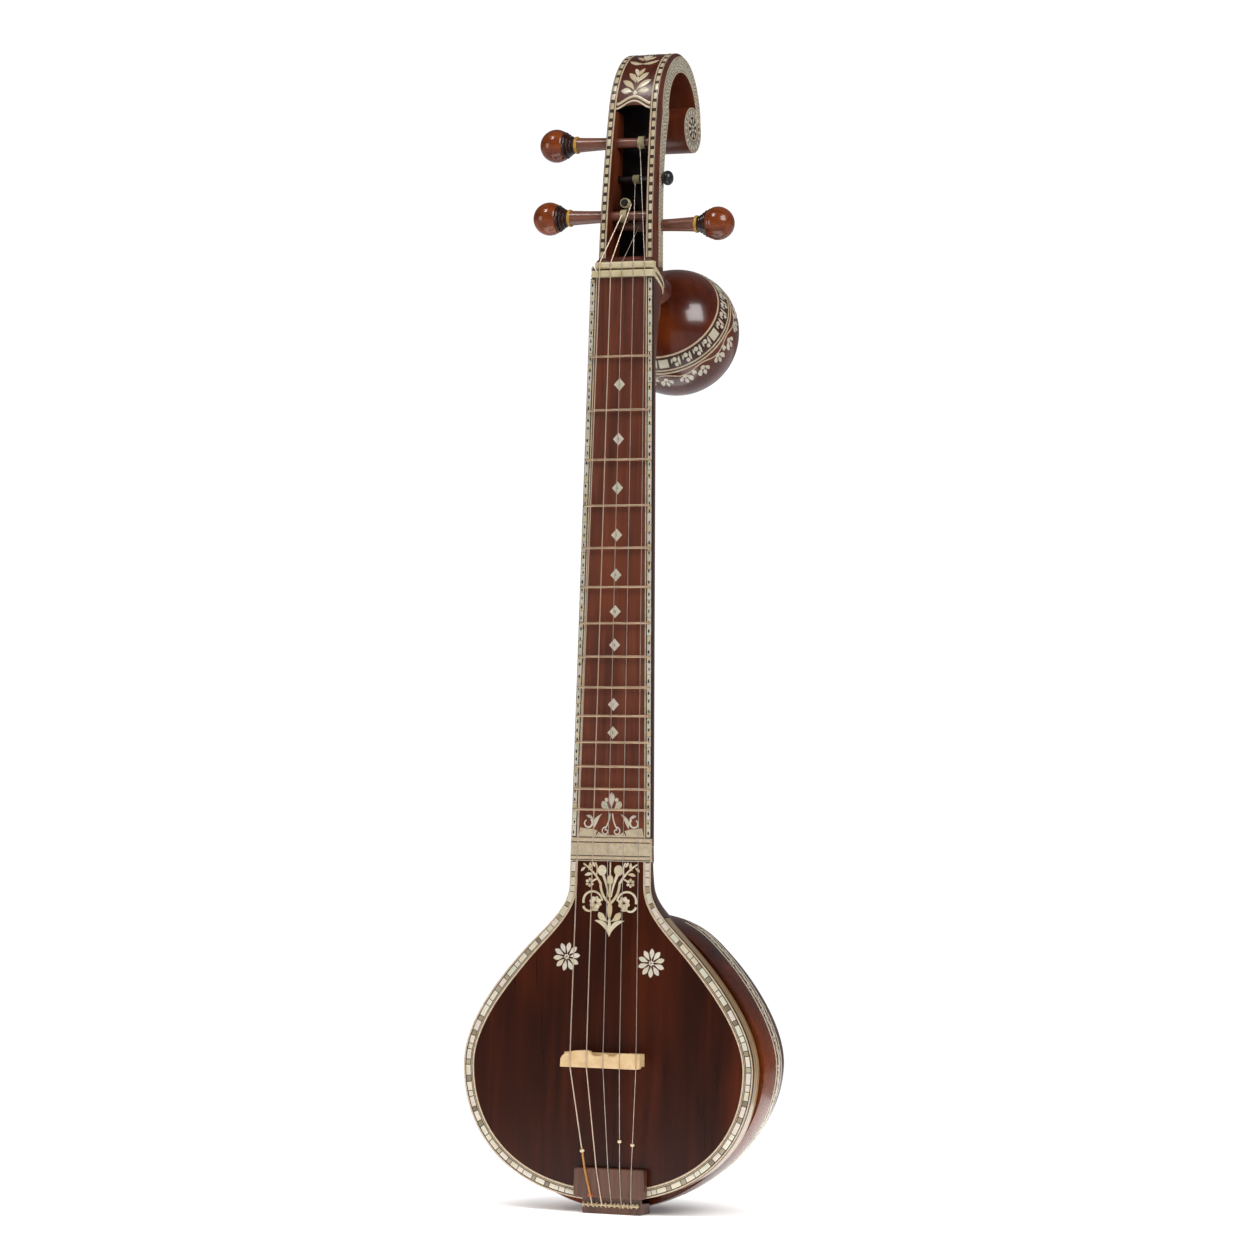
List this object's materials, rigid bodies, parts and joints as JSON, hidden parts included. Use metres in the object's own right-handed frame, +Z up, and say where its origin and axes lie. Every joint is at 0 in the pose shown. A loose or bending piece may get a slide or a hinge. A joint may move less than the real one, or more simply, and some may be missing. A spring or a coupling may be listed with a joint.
{
  "type": "sitar",
  "caption": "Small upright long-necked lute with a gourd body, an inlaid soundboard, a fretted neck, a scrolled peg box with turning pegs, and a second gourd behind the neck.",
  "frame": {"origin": "in the plane of the soundboard, on the centre line, at the flat bottom of the tail block", "axes": "+Z up the neck, +X to the right as seen by someone facing the soundboard, +Y to the back, towards the gourd"},
  "size_m": [0.328, 0.243, 1.197],
  "materials": {
    "soundboard_wood": "gloss",
    "gourd_shell": "gloss",
    "neck_wood": "gloss",
    "head_wood": "gloss",
    "peg_wood": "gloss",
    "tail_wood": "satin",
    "ebony": "satin",
    "mosaic_inlay": "gloss",
    "rim_bands": "gloss",
    "ivory_plastic": "gloss",
    "ring_yellow": "gloss",
    "bridge_bone": "satin",
    "bead": "satin",
    "fret_brass": "polished",
    "string_bronze": "polished",
    "string_steel": "polished",
    "string_turns": "polished"
  },
  "bodies": {
    "root": {"soundboard": "soundboard_wood", "soundboard_binding": "mosaic_inlay", "rim": "rim_bands", "gourd_bowl": "gourd_shell", "heel_block": "gourd_shell", "neck": "neck_wood", "fingerboard": "neck_wood", "neck_border_left": "mosaic_inlay", "neck_border_right": "mosaic_inlay", "joint_plate": "ivory_plastic", "fret_01": "fret_brass", "fret_02": "fret_brass", "fret_03": "fret_brass", "fret_04": "fret_brass", "fret_05": "fret_brass", "fret_06": "fret_brass", "fret_07": "fret_brass", "fret_08": "fret_brass", "fret_09": "fret_brass", "fret_10": "fret_brass", "fret_11": "fret_brass", "fret_12": "fret_brass", "fret_13": "fret_brass", "fret_14": "fret_brass", "nut": "ivory_plastic", "string_guide": "ivory_plastic", "peg_box_and_scroll": "head_wood", "string_1": "string_bronze", "string_2": "string_bronze", "string_3": "string_steel", "string_4": "string_steel", "string_5": "string_steel", "bridge_plate": "bridge_bone", "bridge_base": "bridge_bone", "tail_block": "tail_wood", "anchor_rod": "fret_brass", "gourd_stem": "neck_wood", "gourd_screw": "string_steel"},
    "peg_upper_left": {"peg_upper_left": "peg_wood", "peg_upper_left_ring": "ring_yellow", "winding_5": "string_turns"},
    "peg_lower_left": {"peg_lower_left": "peg_wood", "peg_lower_left_ring": "ring_yellow", "winding_1": "string_turns"},
    "peg_lower_right": {"peg_lower_right": "peg_wood", "peg_lower_right_ring": "ring_yellow", "winding_3": "string_turns"},
    "peg_short_right": {"peg_short_right": "ebony", "winding_4": "string_turns"},
    "peg_rear": {"peg_rear": "ebony", "winding_2": "string_turns"},
    "tuning_bead_1": {"tuning_bead_1": "bead"},
    "tuning_bead_4": {"tuning_bead_4": "bead"},
    "tuning_bead_5": {"tuning_bead_5": "bead"},
    "upper_gourd": {"upper_gourd": "gourd_shell"}
  },
  "joints": [
    {"name": "peg_upper_left_turn", "type": "hinge", "parent": "root", "child": "peg_upper_left", "pos_m": [0, 0.032, 1.097], "axis": [-1, 0, 0], "continuous": true},
    {"name": "peg_lower_left_turn", "type": "hinge", "parent": "root", "child": "peg_lower_left", "pos_m": [0, 0.025, 1.02], "axis": [-1, 0, 0], "continuous": true},
    {"name": "peg_lower_right_turn", "type": "hinge", "parent": "root", "child": "peg_lower_right", "pos_m": [0, 0.0375, 1.011], "axis": [1, 0, 0], "continuous": true},
    {"name": "peg_short_right_turn", "type": "hinge", "parent": "root", "child": "peg_short_right", "pos_m": [0, 0.038, 1.06], "axis": [1, 0, 0], "continuous": true},
    {"name": "peg_rear_turn", "type": "hinge", "parent": "root", "child": "peg_rear", "pos_m": [-0.006, 0, 1.033], "axis": [0, 1, 0], "continuous": true},
    {"name": "tuning_bead_1_slide", "type": "slide", "parent": "root", "child": "tuning_bead_1", "axis": [-0.1375, -0.0892, 0.9865], "range_m": [-0.012, 0.03]},
    {"name": "tuning_bead_4_slide", "type": "slide", "parent": "root", "child": "tuning_bead_4", "axis": [0.0134, -0.09, 0.9959], "range_m": [-0.012, 0.03]},
    {"name": "tuning_bead_5_slide", "type": "slide", "parent": "root", "child": "tuning_bead_5", "axis": [0.064, -0.0898, 0.9939], "range_m": [-0.012, 0.03]},
    {"name": "upper_gourd_turn", "type": "hinge", "parent": "root", "child": "upper_gourd", "pos_m": [0, 0.156, 0.914], "axis": [0, -0.866, 0.5], "continuous": true}
  ]
}
